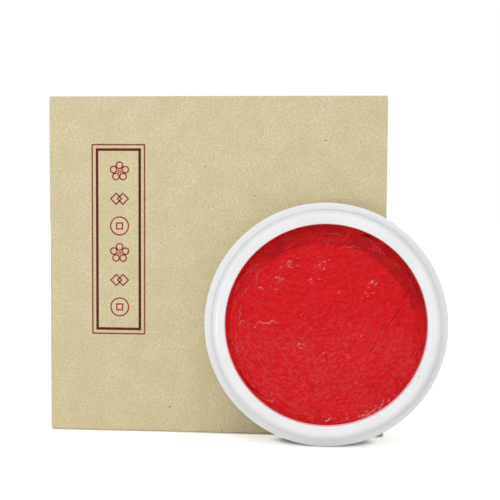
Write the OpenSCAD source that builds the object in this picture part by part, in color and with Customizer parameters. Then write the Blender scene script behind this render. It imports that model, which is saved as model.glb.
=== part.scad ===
// Seal paste box: a square card presentation box standing on its edge, with the open
// porcelain jar of red seal paste leaning back against its printed face.
// Millimetres. +Z is up and +Y runs from the printed face to the back of the box.
// The origin is on the table, at the middle of the card box's footprint.

/* [Card box] */
// Width of the closed box across its printed face
box_w = 125; // [112:1:150]
// Height of the closed box as it stands
box_h = 125; // [112:1:150]
// Thickness of the greyboard
board_t = 1.8; // [1.2:0.1:2.5]
// Thickness of the wrap paper
wrap_t = 0.25; // [0.15:0.05:0.4]
// Thickness of the lining paper
lining_t = 0.2; // [0.1:0.05:0.3]
// Thickness of the paper tape that stays the corners
stay_t = 0.15; // [0.1:0.05:0.3]
// Length of each leg of a corner stay
stay_leg = 12; // [6:1:20]
// Width of the wrap paper turned in over the rims
turn_in = 12; // [6:1:16]
// How far the tray shows behind the rim of the cover
tray_show = 6.8; // [3:0.2:14]
// Gap between the tray and the cover on each side
slide_gap = 0.35; // [0.2:0.05:0.6]
// Gap between the rim of the tray and the lining of the cover
rim_gap = 0.3; // [0.1:0.1:1]

/* [Insert] */
// Thickness of the round pad at the bottom of the nest
pad_t = 4; // [2:0.5:6]
// Thickness of the cloth over the foam
cloth_t = 0.4; // [0.2:0.1:0.8]
// Gap between the insert and the walls of the tray
insert_gap = 0.25; // [0.1:0.05:0.5]
// Gap between the pad and the wall of its hole
pad_gap = 0.25; // [0.1:0.05:0.5]
// Gap between the jar and the wall of its nest
nest_gap = 0.4; // [0.3:0.1:1.5]
// How far the closed jar stands out of the insert
jar_proud = 6.6; // [3:0.2:10]
// Space between the closed jar and the rim of the tray
head_gap = 1.4; // [0.6:0.2:4]

/* [Porcelain jar] */
// Outer diameter of the jar
jar_d = 86; // [80:1:92]
// Height of the bowl from its foot to the ledge that carries the lid
bowl_h = 12.6; // [11:0.2:18]
// Height of the lip above the ledge
lip_h = 4; // [3:0.2:6]
// Width of the ledge outside the lip
ledge_w = 2.8; // [2:0.1:4]
// Thickness of the wall at the lip, from the well to the outside
lip_w = 4.8; // [3.6:0.1:7]
// Width of the lip's gentle inner slope, from the mouth to its crest
bevel_w = 2.7; // [1.6:0.1:3.2]
// Drop of the inner slope, from the crest to the mouth
bevel_h = 0.4; // [0.2:0.1:1]
// Drop of the lip's outer slope, from the crest to its outer edge
fall_h = 0.8; // [0.3:0.1:1.2]
// Radius at the bottom corner of the well
well_r = 4; // [2:0.5:6]
// Diameter of the foot ring
foot_d = 60; // [48:1:64]
// Width of the foot ring
foot_w = 3; // [2:0.5:5]
// Height of the foot ring
foot_h = 1.5; // [0.8:0.1:2.5]
// Height above the table where the curved belly meets the straight wall
belly_h = 8; // [6:0.5:9.5]
// Thickness of the porcelain in the floor and the lid
porcelain_t = 3; // [2:0.2:4]
// Radius of the glazed edges
edge_r = 0.8; // [0.4:0.1:1]
// Height of the lid
lid_h = 16; // [13:0.5:20]
// Radius of the lid's shoulder
shoulder_r = 6; // [4:0.5:8]
// Rise of the lid's domed top
dome_h = 2; // [1:0.2:4]
// Gap between the lid's skirt and the lip
lid_gap = 0.4; // [0.2:0.1:0.6]

/* [Seal paste] */
// Drop from the crest of the lip to the edge of the paste
paste_drop = 3.4; // [2:0.1:4]
// Rise of the paste from its edge to its middle
paste_crown = 1.6; // [0.4:0.1:2.4]
// Clearance between the paste and the glaze
paste_gap = 0.05; // [0.02:0.01:0.1]

/* [Arrangement] */
// Angle by which the open jar leans back, in degrees
lean = 3.2; // [1:0.2:8]
// Distance from the middle of the card box to the middle of the open jar
jar_x = 40.5; // [0:0.5:45]
// Gap between the leaning jar and the printed face
lean_gap = 0.3; // [0.1:0.1:1]
// Gap under the lid where it lies in the nest
lid_seat_gap = 0.3; // [0.1:0.1:1]

/* [Hidden] */
$fn = 96;
arc_steps = 8;
curve_steps = 12;
past = 1; // how far a cutting solid runs past what it cuts

// Colours
kraft = [0.79, 0.75, 0.59];
greyboard = [0.62, 0.60, 0.56];
tape = [0.72, 0.60, 0.42];
white_paper = [0.95, 0.94, 0.90];
foam = [0.96, 0.96, 0.95];
satin = [0.87, 0.76, 0.45];
glaze = [0.94, 0.95, 0.96];
cinnabar = [0.80, 0.05, 0.07];

// Radii of the jar
jar_r = jar_d / 2;
lip_r = jar_r - ledge_w;
mouth_r = lip_r - lip_w;
foot_r = foot_d / 2;
crest_h = bowl_h + lip_h;
well_floor = foot_h + porcelain_t;
skirt_r = lip_r + lid_gap;
closed_h = bowl_h + lid_h;

// Layers of a card wall, from the outside in
glue_in = wrap_t + stay_t;
wall_t = glue_in + board_t + wrap_t;

// Depths of the tray, the cover and the closed box
tray_clear = pad_t + closed_h + head_gap;
tray_d = wrap_t + board_t + lining_t + tray_clear;
box_d = wrap_t + board_t + lining_t + rim_gap + tray_d;
cover_d = box_d - tray_show;
face_y = -box_d / 2;
back_y = box_d / 2;

// Outer width and height of the tray, inside the cover
tray_w = box_w - 2 * (wall_t + slide_gap);
tray_h = box_h - 2 * (wall_t + slide_gap);

// Insert, inside the tray
insert_w = tray_w - 2 * (wall_t + insert_gap);
insert_h = tray_h - 2 * (wall_t + insert_gap);
nest_depth = closed_h - jar_proud;
nest_r = jar_r + nest_gap;
block_r = nest_r + cloth_t;
block_t = pad_t + nest_depth - cloth_t;
tray_floor_y = back_y - wrap_t - board_t - lining_t;
pad_y = tray_floor_y - pad_t;

// The belly is a quarter of an ellipse between the foot and the straight wall
belly_reach = jar_r - foot_r;
belly_rise = belly_h - foot_h;

function belly_at(t) = [foot_r + belly_reach * sin(t), foot_h + belly_rise * (1 - cos(t))];

// The leaning jar stands on the lowest point of its belly and rests its foot on the card box
touch = belly_at(atan2(belly_reach * cos(lean), belly_rise * sin(lean)));
jar_y = face_y - lean_gap - foot_r * sin(lean);
jar_z = touch[0] * cos(lean) - touch[1] * sin(lean);

function arc(centre, r, from, to) =
    [for (i = [0:arc_steps])
        let (a = from + (to - from) * i / arc_steps)
        centre + r * [cos(a), sin(a)]];

// Block w wide and h high, centred on the Y axis, from y0 to y1
module slab(w, h, y0, y1) {
    translate([-w / 2, y0, -h / 2])
        cube([w, y1 - y0, h]);
}

// An open card box with its face on y = 0 and its rim at y = d
module face_board(w, h) {
    inset = 2 * (glue_in + board_t);
    slab(w - inset, h - inset, wrap_t, wrap_t + board_t);
}

module side_board(w, h, d, side) {
    x = side * (w / 2 - glue_in - board_t / 2);
    translate([x, 0, 0])
        slab(board_t, h - 2 * glue_in, wrap_t, d - wrap_t);
}

module end_board(w, h, d, side) {
    z = side * (h / 2 - glue_in - board_t / 2);
    translate([0, 0, z])
        slab(w - 2 * (glue_in + board_t), board_t, wrap_t, d - wrap_t);
}

module corner_stays(w, h, d) {
    for (sx = [-1, 1], sz = [-1, 1]) {
        x = w / 2 - wrap_t;
        z = h / 2 - wrap_t;
        long_x = sx > 0 ? x - stay_leg : -x;
        long_z = sz > 0 ? z - stay_leg : -z;
        thin_x = sx > 0 ? x - stay_t : -x;
        thin_z = sz > 0 ? z - stay_t : -z;
        union() {
            translate([long_x, wrap_t, thin_z])
                cube([stay_leg, d - 2 * wrap_t, stay_t]);
            translate([thin_x, wrap_t, long_z])
                cube([stay_t, d - 2 * wrap_t, stay_leg]);
        }
    }
}

module wrap_sheet(w, h, d) {
    board_in = 2 * (glue_in + board_t);
    mouth_in = 2 * wall_t;
    difference() {
        slab(w, h, 0, d);
        slab(w - 2 * wrap_t, h - 2 * wrap_t, wrap_t, d - wrap_t);
        slab(w - mouth_in, h - mouth_in, wrap_t, d + past);
    }
    difference() {
        slab(w - board_in, h - board_in, d - turn_in, d - wrap_t);
        slab(w - mouth_in, h - mouth_in, d - turn_in - past, d);
    }
}

module lining_sheet(w, h, d) {
    board_in = 2 * (glue_in + board_t);
    inner = board_in + 2 * lining_t;
    difference() {
        slab(w - board_in, h - board_in, wrap_t + board_t, d - turn_in);
        slab(w - inner, h - inner, wrap_t + board_t + lining_t, d);
    }
}

// The cover stands with its face to the front, and the tray faces it from the back
module place_cover() {
    translate([0, face_y, box_h / 2])
        children();
}

module place_tray() {
    translate([0, back_y, box_h / 2])
        rotate([0, 0, 180])
            children();
}

// The open jar stands on its wall with its axis to the front, leaning back
module place_jar() {
    translate([jar_x, jar_y, jar_z])
        rotate([90 - lean, 0, 0])
            children();
}

module cover_face_board() {
    color(greyboard) place_cover() face_board(box_w, box_h);
}

module cover_side_board(side) {
    color(greyboard) place_cover() side_board(box_w, box_h, cover_d, side);
}

module cover_end_board(side) {
    color(greyboard) place_cover() end_board(box_w, box_h, cover_d, side);
}

module cover_corner_stays() {
    color(tape) place_cover() corner_stays(box_w, box_h, cover_d);
}

module cover_wrap() {
    color(kraft) place_cover() wrap_sheet(box_w, box_h, cover_d);
}

module cover_lining() {
    color(white_paper) place_cover() lining_sheet(box_w, box_h, cover_d);
}

module tray_floor_board() {
    color(greyboard) place_tray() face_board(tray_w, tray_h);
}

module tray_side_board(side) {
    color(greyboard) place_tray() side_board(tray_w, tray_h, tray_d, side);
}

module tray_end_board(side) {
    color(greyboard) place_tray() end_board(tray_w, tray_h, tray_d, side);
}

module tray_corner_stays() {
    color(tape) place_tray() corner_stays(tray_w, tray_h, tray_d);
}

module tray_wrap() {
    color(kraft) place_tray() wrap_sheet(tray_w, tray_h, tray_d);
}

module tray_lining() {
    color(white_paper) place_tray() lining_sheet(tray_w, tray_h, tray_d);
}

// Cylinder along the depth of the tray, from y0 forward to y1
module nest_disc(r, y0, y1) {
    translate([0, y0, box_h / 2])
        rotate([90, 0, 0])
            cylinder(r = r, h = y0 - y1);
}

module insert_block() {
    front = tray_floor_y - block_t;
    color(foam) difference() {
        translate([0, 0, box_h / 2]) slab(insert_w, insert_h, front, tray_floor_y);
        nest_disc(block_r, tray_floor_y + past, front - past);
    }
}

module nest_pad() {
    color(satin) nest_disc(block_r - pad_gap, tray_floor_y, pad_y);
}

module insert_cloth() {
    back = tray_floor_y - block_t;
    front = back - cloth_t;
    color(satin) difference() {
        union() {
            translate([0, 0, box_h / 2]) slab(insert_w, insert_h, front, back);
            nest_disc(block_r, pad_y, back);
        }
        nest_disc(nest_r, pad_y + past, front - past);
    }
}

// The lip falls from its crest to a rounded outer edge
fall_angle = atan2(fall_h, lip_w - bevel_w);
lip_edge_h = crest_h - edge_r / cos(fall_angle)
    - (lip_w - bevel_w - edge_r) * tan(fall_angle);

// Porcelain, turned about its axis with the foot at height 0
function bowl_outline() = concat(
    [[0, foot_h], [foot_r - foot_w, foot_h], [foot_r - foot_w, 0], [foot_r, 0]],
    [for (i = [0:curve_steps]) belly_at(90 * i / curve_steps)],
    arc([jar_r - edge_r, bowl_h - edge_r], edge_r, 0, 90),
    [[lip_r, bowl_h]],
    arc([lip_r - edge_r, lip_edge_h], edge_r, 0, 90 - fall_angle),
    [[mouth_r + bevel_w, crest_h], [mouth_r, crest_h - bevel_h]],
    arc([mouth_r - well_r, well_floor + well_r], well_r, 0, -90),
    [[0, well_floor]]
);

module jar_bowl() {
    color(glaze) place_jar() rotate_extrude() polygon(bowl_outline());
}

// The paste fills the well up to its edge and bulges to its middle
paste_r = mouth_r - paste_gap;
paste_base = well_floor + paste_gap;
paste_edge = crest_h - paste_drop;

function paste_top() =
    [for (i = [0:curve_steps])
        let (share = 1 - i / curve_steps)
        [paste_r * share, paste_edge + paste_crown * (1 - pow(share, 4))]];

function paste_outline() = concat(
    [[0, paste_base]],
    arc([mouth_r - well_r, well_floor + well_r], well_r - paste_gap, -90, 0),
    paste_top()
);

module seal_paste() {
    color(cinnabar) place_jar() rotate_extrude() polygon(paste_outline());
}

// The lid, with its rim at height 0
lid_side_h = lid_h - dome_h;

function dome(r, base) =
    [for (i = [0:curve_steps])
        let (share = 1 - i / curve_steps)
        [r * share, base + dome_h * (1 - share * share)]];

function lid_outline() = concat(
    [[skirt_r, 0]],
    arc([jar_r - edge_r, edge_r], edge_r, -90, 0),
    arc([jar_r - shoulder_r, lid_side_h - shoulder_r], shoulder_r, 0, 80),
    dome(jar_r - shoulder_r, lid_side_h),
    [for (i = [curve_steps:-1:0]) dome(skirt_r - porcelain_t, lid_side_h - porcelain_t)[i]],
    arc([skirt_r - porcelain_t, lid_side_h - 2 * porcelain_t], porcelain_t, 80, 0)
);

module jar_lid() {
    color(glaze)
        translate([0, pad_y - lid_seat_gap, box_h / 2])
            rotate([90, 0, 0])
                rotate_extrude() polygon(lid_outline());
}

cover_face_board();
cover_side_board(-1);  // cover_left_board
cover_side_board(1);  // cover_right_board
cover_end_board(1);  // cover_top_board
cover_end_board(-1);  // cover_bottom_board
cover_corner_stays();
cover_wrap();
cover_lining();
tray_floor_board();
tray_side_board(1);  // tray_left_board
tray_side_board(-1);  // tray_right_board
tray_end_board(1);  // tray_top_board
tray_end_board(-1);  // tray_bottom_board
tray_corner_stays();
tray_wrap();
tray_lining();
insert_block();
nest_pad();
insert_cloth();
jar_bowl();
seal_paste();
jar_lid();
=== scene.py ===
# %% [markdown]
# # A seal paste box
#
# A porcelain jar of red seal paste leans on the card box that it is sold in. The card box stands on
# its edge. Behind its printed face lie a tray, a cloth-covered insert and the jar's lid.
#
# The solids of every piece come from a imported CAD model, which is the fixed frame of this scene.
# This lesson dresses them: it gives each one a finish, and it models again the pieces whose looks
# need more than a plain solid, such as folded paper, glazed edges, cloth and the paste itself.

# %% Load the frame
import math

import bmesh
import bpy
import numpy as np
from mathutils import Matrix, Vector


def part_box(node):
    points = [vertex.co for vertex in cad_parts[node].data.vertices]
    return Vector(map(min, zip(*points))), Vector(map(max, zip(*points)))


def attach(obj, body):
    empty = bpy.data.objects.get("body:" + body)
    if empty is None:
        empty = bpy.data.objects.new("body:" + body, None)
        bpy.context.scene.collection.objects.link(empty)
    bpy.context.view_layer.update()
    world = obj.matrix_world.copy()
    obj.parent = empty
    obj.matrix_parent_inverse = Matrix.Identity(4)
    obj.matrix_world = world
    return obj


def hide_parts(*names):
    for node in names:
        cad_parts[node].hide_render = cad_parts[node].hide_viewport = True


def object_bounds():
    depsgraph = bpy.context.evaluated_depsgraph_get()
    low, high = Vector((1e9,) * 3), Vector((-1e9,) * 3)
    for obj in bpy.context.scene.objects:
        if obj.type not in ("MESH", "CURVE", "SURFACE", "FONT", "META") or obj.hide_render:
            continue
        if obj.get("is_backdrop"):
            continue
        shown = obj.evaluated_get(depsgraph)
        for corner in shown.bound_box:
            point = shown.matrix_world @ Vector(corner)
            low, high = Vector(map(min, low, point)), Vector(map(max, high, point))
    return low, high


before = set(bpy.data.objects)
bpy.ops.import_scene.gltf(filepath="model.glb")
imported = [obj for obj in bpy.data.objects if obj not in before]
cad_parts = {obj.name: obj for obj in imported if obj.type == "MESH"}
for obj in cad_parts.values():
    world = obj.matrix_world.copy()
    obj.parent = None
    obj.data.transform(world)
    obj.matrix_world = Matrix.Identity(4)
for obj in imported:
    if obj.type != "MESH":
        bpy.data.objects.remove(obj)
cad_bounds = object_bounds()

# %% [markdown]
# ## Sizes
#
# Sizes are written in millimetres and turned into metres where they are used. The jar leans, so its
# box doesn't give its radii, and they are repeated here.

# %% Sizes of the card box, read from the frame
MM = 0.001
cover_low, cover_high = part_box("cover_wrap")
tray_low, tray_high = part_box("tray_wrap")
board_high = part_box("cover_left_board")[1]
face_y = cover_low.y
box_mid_z = (cover_low.z + cover_high.z) / 2
wrap_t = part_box("cover_face_board")[0].y - face_y
wall_t = board_high.x - cover_low.x + wrap_t
turn_in = cover_high.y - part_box("cover_lining")[1].y
print(f"wall {wall_t / MM:.2f} mm, turned-in paper {turn_in / MM:.1f} mm")

# %% Sizes of the jar and its lid
jar_r = 43 * MM
lip_r = 40.2 * MM
mouth_r = 35.4 * MM
bevel_w = 2.7 * MM
bevel_h = 0.4 * MM
fall_h = 0.8 * MM
foot_r = 30 * MM
foot_w = 3 * MM
foot_h = 1.5 * MM
belly_h = 8 * MM
bowl_h = 12.6 * MM
crest_h = bowl_h + 4 * MM
porcelain_t = 3 * MM
well_floor = foot_h + porcelain_t
well_r = 4 * MM
lid_h = 16 * MM
dome_h = 2 * MM
shoulder_r = 6 * MM
skirt_r = lip_r + 0.4 * MM
lean = math.radians(3.2)
lean_gap = 0.3 * MM
paste_r = mouth_r - 0.05 * MM
paste_edge = crest_h - 3.4 * MM
paste_crown = 1.6 * MM


def belly_at(angle):
    """Radius and height of the bowl's belly, a quarter of an ellipse."""
    reach = (jar_r - foot_r) * math.sin(angle)
    rise = (belly_h - foot_h) * (1 - math.cos(angle))
    return foot_r + reach, foot_h + rise


def facing_front(foot, back=0):
    """Stands up a shape that was made lying on the floor, leaning back by an angle."""
    return Matrix.Translation(foot) @ Matrix.Rotation(math.radians(90) - back, 4, "X")


bowl_low, bowl_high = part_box("jar_bowl")
touch_angle = math.atan2(
    (jar_r - foot_r) * math.cos(lean), (belly_h - foot_h) * math.sin(lean))
touch_r, touch_h = belly_at(touch_angle)
jar_foot = Vector((
    (bowl_low.x + bowl_high.x) / 2, face_y - lean_gap - foot_r * math.sin(lean),
    touch_r * math.cos(lean) - touch_h * math.sin(lean)))
jar_place = facing_front(jar_foot, lean)
lid_place = facing_front((0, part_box("jar_lid")[1].y, box_mid_z))
print("jar stands at", [round(v / MM, 2) for v in jar_foot])

# %% [markdown]
# ## The camera
#
# The photograph's camera was found from the four corners of the box's face: a square of known size
# has only one camera that gives those four corners, once the lens is known. It stands a little to
# the right of the box, slightly above the middle, and looks a few degrees left and down.

# %% Camera
PHOTO_WIDTH = 500
focal_px = 915
camera_at = Vector((36.25 * MM, face_y - 336.48 * MM, 86.81 * MM))
yaw, pitch, roll = (math.radians(a) for a in (4.012, 3.111, 0.318))

bpy.ops.object.select_all(action="DESELECT")
turn = (Matrix.Rotation(yaw, 4, "Z") @ Matrix.Rotation(math.radians(90) - pitch, 4, "X")
        @ Matrix.Rotation(roll, 4, "Z"))
bpy.ops.object.camera_add(location=camera_at, rotation=turn.to_euler())
camera = bpy.context.object
camera.name = "camera"
camera.data.sensor_width = 36
camera.data.lens = focal_px * camera.data.sensor_width / PHOTO_WIDTH
camera.data.clip_start = 0.01
bpy.context.scene.camera = camera
bpy.context.scene.view_settings.view_transform = "Standard"
print(f"lens {camera.data.lens:.1f} mm")

# %% [markdown]
# ## Helpers for modelling
#
# Most pieces are made as by hand: add a primitive, go into edit mode, pick faces or edges by where
# they are, and extrude, inset or bevel them. These helpers do the picking. A finished piece has its
# place in its mesh, so its object is put at the origin at the end.


# %% Helpers for modelling
def deselect():
    bpy.ops.object.select_all(action="DESELECT")


def only(piece):
    """Selects one piece and makes it the active one."""
    deselect()
    piece.select_set(True)
    bpy.context.view_layer.objects.active = piece


def select_all():
    bpy.ops.mesh.select_all(action="SELECT")


def start_edit(piece, kind="FACE"):
    """Opens a piece in edit mode with all of it selected."""
    only(piece)
    bpy.ops.object.mode_set(mode="EDIT")
    bpy.ops.mesh.select_mode(type=kind)
    select_all()


def end_edit():
    bpy.ops.object.mode_set(mode="OBJECT")


def pick(kind, wanted):
    """Selects the faces, edges or verts for which wanted is true, and nothing else."""
    bpy.ops.mesh.select_mode(type={"faces": "FACE", "edges": "EDGE", "verts": "VERT"}[kind])
    bpy.ops.mesh.select_all(action="DESELECT")
    mesh = bpy.context.object.data
    shape = bmesh.from_edit_mesh(mesh)
    for element in getattr(shape, kind):
        if wanted(element):
            element.select_set(True)
    shape.select_flush_mode()
    bmesh.update_edit_mesh(mesh)


def extrude(*move):
    """Extrudes what is selected; with no move the new points stay where the old ones are."""
    bpy.ops.mesh.extrude_region_move(TRANSFORM_OT_translate={"value": move or (0, 0, 0)})


def apply_place(piece, place=Matrix.Identity(4)):
    """Moves a piece by a matrix and puts that place into its mesh."""
    only(piece)
    piece.matrix_basis = place @ piece.matrix_basis
    bpy.ops.object.transform_apply(location=True, rotation=True, scale=True)


def give_thickness(piece, thickness, even=False):
    """Turns a sheet into a solid, with the new side behind its faces."""
    modifier = piece.modifiers.new("thickness", "SOLIDIFY")
    modifier.thickness = thickness
    modifier.offset = -1
    modifier.use_even_offset = even
    only(piece)
    bpy.ops.object.modifier_apply(modifier=modifier.name)


def face_outwards(piece):
    """Merges doubles and turns every face outwards."""
    start_edit(piece)
    bpy.ops.mesh.remove_doubles(threshold=0.001 * MM)
    bpy.ops.mesh.normals_make_consistent(inside=False)
    end_edit()


def smooth(piece, angle):
    only(piece)
    bpy.ops.object.shade_smooth_by_angle(angle=math.radians(angle))


def finish_piece(piece, name, body, finish, slot, *nodes):
    """Names a piece, gives it its finish, hangs it on its body and hides the CAD solids that it
    replaces.
    """
    piece.name = name
    piece.data.name = name
    piece.data.materials.clear()
    piece.data.materials.append(finish.material)
    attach(piece, body)
    if nodes:
        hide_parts(*nodes)
    print(f"{name}: {len(piece.data.polygons)} faces")


# %% [markdown]
# ## Shared effects
#
# Paper, board, cloth, glaze and paste all need small random detail at a known size. Each such
# effect is one node group. Its sizes are real lengths in metres, because every pattern reads Object
# coordinates, and every object here is in metres with its origin at the same place.


# %% Node helpers
def feed(tree, socket, value):
    """Links a value into a socket, or sets it there when it is a plain number or colour."""
    if isinstance(value, bpy.types.NodeSocket):
        tree.links.new(value, socket)
    else:
        socket.default_value = value


def add_node(tree, kind, feeds=None, **settings):
    """Adds a node with its settings; feeds says what goes into which input."""
    node = tree.nodes.new("ShaderNode" + kind)
    for name, value in settings.items():
        setattr(node, name, value)
    for name, value in (feeds or {}).items():
        feed(tree, node.inputs[name], value)
    return node


def math_node(tree, operation, *values):
    return add_node(tree, "Math", dict(enumerate(values)), operation=operation).outputs[0]


def vector_node(tree, operation, *values):
    return add_node(tree, "VectorMath", dict(enumerate(values)), operation=operation).outputs[0]


def tone(red, green, blue):
    """A colour in levels of 0 to 255, turned into the linear values of a shader."""
    def linear(level):
        level /= 255
        return level / 12.92 if level <= 0.04045 else ((level + 0.055) / 1.055) ** 2.4
    return linear(red), linear(green), linear(blue), 1.0


def mix_colours(tree, share, *colours):
    """Mixes two colours, each of them linked or given in levels of 0 to 255."""
    first, second = (
        colour if isinstance(colour, bpy.types.NodeSocket) else tone(*colour)
        for colour in colours)
    feeds = {"Factor": share, 6: first, 7: second}
    return add_node(tree, "Mix", feeds, data_type="RGBA").outputs[2]


def new_range(tree, value, low, high, to_low=0.0, to_high=1.0):
    """Stretches value from low..high to to_low..to_high, clamped at both ends."""
    feeds = dict(enumerate((value, low, high, to_low, to_high)))
    return add_node(tree, "MapRange", feeds, interpolation_type="SMOOTHSTEP").outputs[0]


def new_group(name, output, **inputs):
    """An empty node group that reads a Vector and numbers, which are given with their defaults."""
    group = bpy.data.node_groups.new(name, "ShaderNodeTree")
    group.interface.new_socket(name="Vector", in_out="INPUT", socket_type="NodeSocketVector")
    for label, default in inputs.items():
        socket = group.interface.new_socket(
            name=label, in_out="INPUT", socket_type="NodeSocketFloat")
        socket.default_value = default
    group.interface.new_socket(name=output, in_out="OUTPUT", socket_type="NodeSocketFloat")
    entry = group.nodes.new("NodeGroupInput")
    end = group.nodes.new("NodeGroupOutput")
    print("node group:", name)
    return group, entry.outputs, end.inputs[0]


# %% Grain: soft random detail of one size
grain_group, entry, end = new_group("grain", "Value", Size=MM, Detail=2.0)
noise = add_node(grain_group, "TexNoise", {
    "Vector": entry["Vector"], "Scale": math_node(grain_group, "DIVIDE", 1.0, entry["Size"]),
    "Detail": entry["Detail"]})
feed(grain_group, end, new_range(grain_group, noise.outputs[0], 0.25, 0.75))

# %% Flecks: sparse small specks
fleck_group, entry, end = new_group(
    "flecks", "Mask", Spacing=4 * MM, Width=0.3 * MM, Share=0.5)
scale = math_node(fleck_group, "DIVIDE", 1.0, entry["Spacing"])
cells = add_node(fleck_group, "TexVoronoi", {"Vector": entry["Vector"], "Scale": scale}).outputs
chance = add_node(fleck_group, "SeparateColor", {0: cells["Color"]}).outputs
present = math_node(fleck_group, "LESS_THAN", chance[0], entry["Share"])
own_width = math_node(fleck_group, "MULTIPLY", entry["Width"], chance[1])
radius = math_node(fleck_group, "MULTIPLY", own_width, scale)
inside = math_node(fleck_group, "LESS_THAN", cells["Distance"], radius)
feed(fleck_group, end, math_node(fleck_group, "MULTIPLY", present, inside))

# %% Fibres: long thin strands lying in several directions
FIBRE_TURNS = ((0, 20, 0), (0, 75, 15), (0, -38, 0), (25, -80, 0))
fibre_group, entry, end = new_group(
    "fibres", "Value", Length=4 * MM, Width=0.3 * MM, Curl=1.0)
lengthwise = math_node(fibre_group, "DIVIDE", 1.0, entry["Length"])
crosswise = math_node(fibre_group, "DIVIDE", 1.0, entry["Width"])
wander = add_node(fibre_group, "TexNoise", {"Vector": entry["Vector"], "Scale": lengthwise})
curl = math_node(fibre_group, "MULTIPLY", entry["Curl"], entry["Length"])
bent = vector_node(
    fibre_group, "ADD", entry["Vector"],
    vector_node(fibre_group, "MULTIPLY", wander.outputs["Color"], curl))
squeeze = add_node(
    fibre_group, "CombineXYZ", {0: lengthwise, 1: crosswise, 2: crosswise}).outputs[0]
best = 0.0
for turns in FIBRE_TURNS:
    turns = [math.radians(a) for a in turns]
    turned_axes = add_node(
        fibre_group, "VectorRotate", {"Vector": bent, "Rotation": turns},
        rotation_type="EULER_XYZ").outputs[0]
    threads = add_node(fibre_group, "TexNoise", {
        "Vector": vector_node(fibre_group, "MULTIPLY", turned_axes, squeeze),
        "Scale": 1.0, "Detail": 1.0})
    best = math_node(fibre_group, "MAXIMUM", best, threads.outputs[0])
feed(fibre_group, end, new_range(fibre_group, best, 0.5, 0.85))


# %% [markdown]
# ## Finishes
#
# Each finish is one material. It starts from a plain colour and lays near colours over it, each
# through one of the shared effects, and the same effects raise the surface slightly through a Bump
# node, whose distance is a real height. What is the same all over is set on the shader itself.


# %% A finish
class Finish:
    """A material with its tree, its shader and the coordinates that its patterns read."""

    def __init__(self, name, roughness, specular=0.5):
        self.material = bpy.data.materials.new(name)
        self.material.use_nodes = True
        self.tree = self.material.node_tree
        self.shader = self.tree.nodes["Principled BSDF"]
        self.place = add_node(self.tree, "TexCoord").outputs["Object"]
        self.set("Roughness", roughness)
        self.set("Specular IOR Level", specular)
        print("finish:", name)

    def set(self, socket, value):
        feed(self.tree, self.shader.inputs[socket], value)

    def effect(self, group, **sizes):
        """Places one of the shared effects."""
        feeds = {"Vector": self.place, **sizes}
        return add_node(self.tree, "Group", feeds, node_tree=group).outputs[0]

    def grain(self, size, detail=2.0):
        return self.effect(grain_group, Size=size, Detail=detail)

    def flecks(self, spacing, width, share):
        return self.effect(fleck_group, Spacing=spacing, Width=width, Share=share)

    def fibres(self, length, width, curl=1.0):
        return self.effect(fibre_group, Length=length, Width=width, Curl=curl)

    def mark(self, name):
        """A number that each point of the mesh brings with it."""
        return add_node(self.tree, "Attribute", attribute_name=name).outputs["Fac"]

    def paint(self, colour, *layers):
        """Lays colours over the first one: each layer is (mask, share, colour)."""
        for mask, share, over in layers:
            if share < 1:
                mask = math_node(self.tree, "MULTIPLY", mask, share)
            colour = mix_colours(self.tree, mask, colour, over)
        self.set("Base Color", colour)

    def raise_by(self, *layers):
        """Raises the surface: each layer is (height 0 to 1, distance in metres)."""
        normal = None
        for height, distance in layers:
            feeds = {"Distance": distance, "Height": height}
            if normal:
                feeds["Normal"] = normal
            normal = add_node(self.tree, "Bump", feeds).outputs["Normal"]
        self.set("Normal", normal)


# %% Wrap paper, lining and tape: mottled, with short fibres and a few dark flecks
def paper_finish(name, main, pale, deep, warm, cool, fleck):
    paper = Finish(name, 0.85, 0.25)
    grain = paper.grain(0.65 * MM)
    strands = paper.fibres(2.5 * MM, 0.25 * MM)
    paper.paint(
        main, (paper.grain(9 * MM, 3.0), 1, pale), (grain, 0.9, deep),
        (paper.grain(1.0 * MM), 0.5, warm), (paper.grain(1.3 * MM), 0.35, cool),
        (strands, 0.4, pale), (paper.flecks(6.5 * MM, 0.42 * MM, 0.6), 0.7, fleck))
    paper.raise_by((grain, 0.03 * MM), (strands, 0.02 * MM))
    return paper


wrap_paper = paper_finish(
    "wrap_paper", (218, 208, 168), (236, 226, 194), (190, 176, 125), (225, 199, 160),
    (206, 207, 156), (92, 76, 50))
lining_paper = paper_finish(
    "lining_paper", (238, 236, 228), (243, 241, 235), (228, 225, 215), (236, 230, 218),
    (232, 233, 222), (190, 180, 160))
stay_tape = paper_finish(
    "stay_tape", (186, 150, 106), (196, 162, 118), (166, 130, 88), (190, 148, 98),
    (180, 150, 100), (110, 80, 50))

# %% Greyboard: pressed waste paper, speckled grey
greyboard = Finish("greyboard", 0.9, 0.2)
pulp = greyboard.grain(0.6 * MM, 4.0)
pulp_strands = greyboard.fibres(3 * MM, 0.3 * MM)
greyboard.paint(
    (150, 145, 136), (pulp, 1, (172, 167, 156)), (pulp_strands, 0.5, (196, 190, 178)),
    (greyboard.flecks(2.5 * MM, 0.5 * MM, 0.5), 0.8, (88, 84, 92)))
greyboard.raise_by((pulp, 0.05 * MM), (pulp_strands, 0.04 * MM))


# %% Printing ink: dull red, thinner in places so that the paper shows through
def ink_finish(name, full, thin):
    ink = Finish(name, 0.7, 0.3)
    grain = ink.grain(0.3 * MM)
    ink.paint(full, (ink.grain(1.2 * MM, 3.0), 1, thin), (grain, 0.3, thin))
    ink.raise_by((grain, 0.02 * MM))
    return ink


dark_ink = ink_finish("dark_ink", (74, 6, 4), (106, 14, 9))
pale_ink = ink_finish("pale_ink", (128, 46, 36), (150, 82, 60))
mark_ink = ink_finish("mark_ink", (132, 18, 20), (168, 66, 54))
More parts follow.
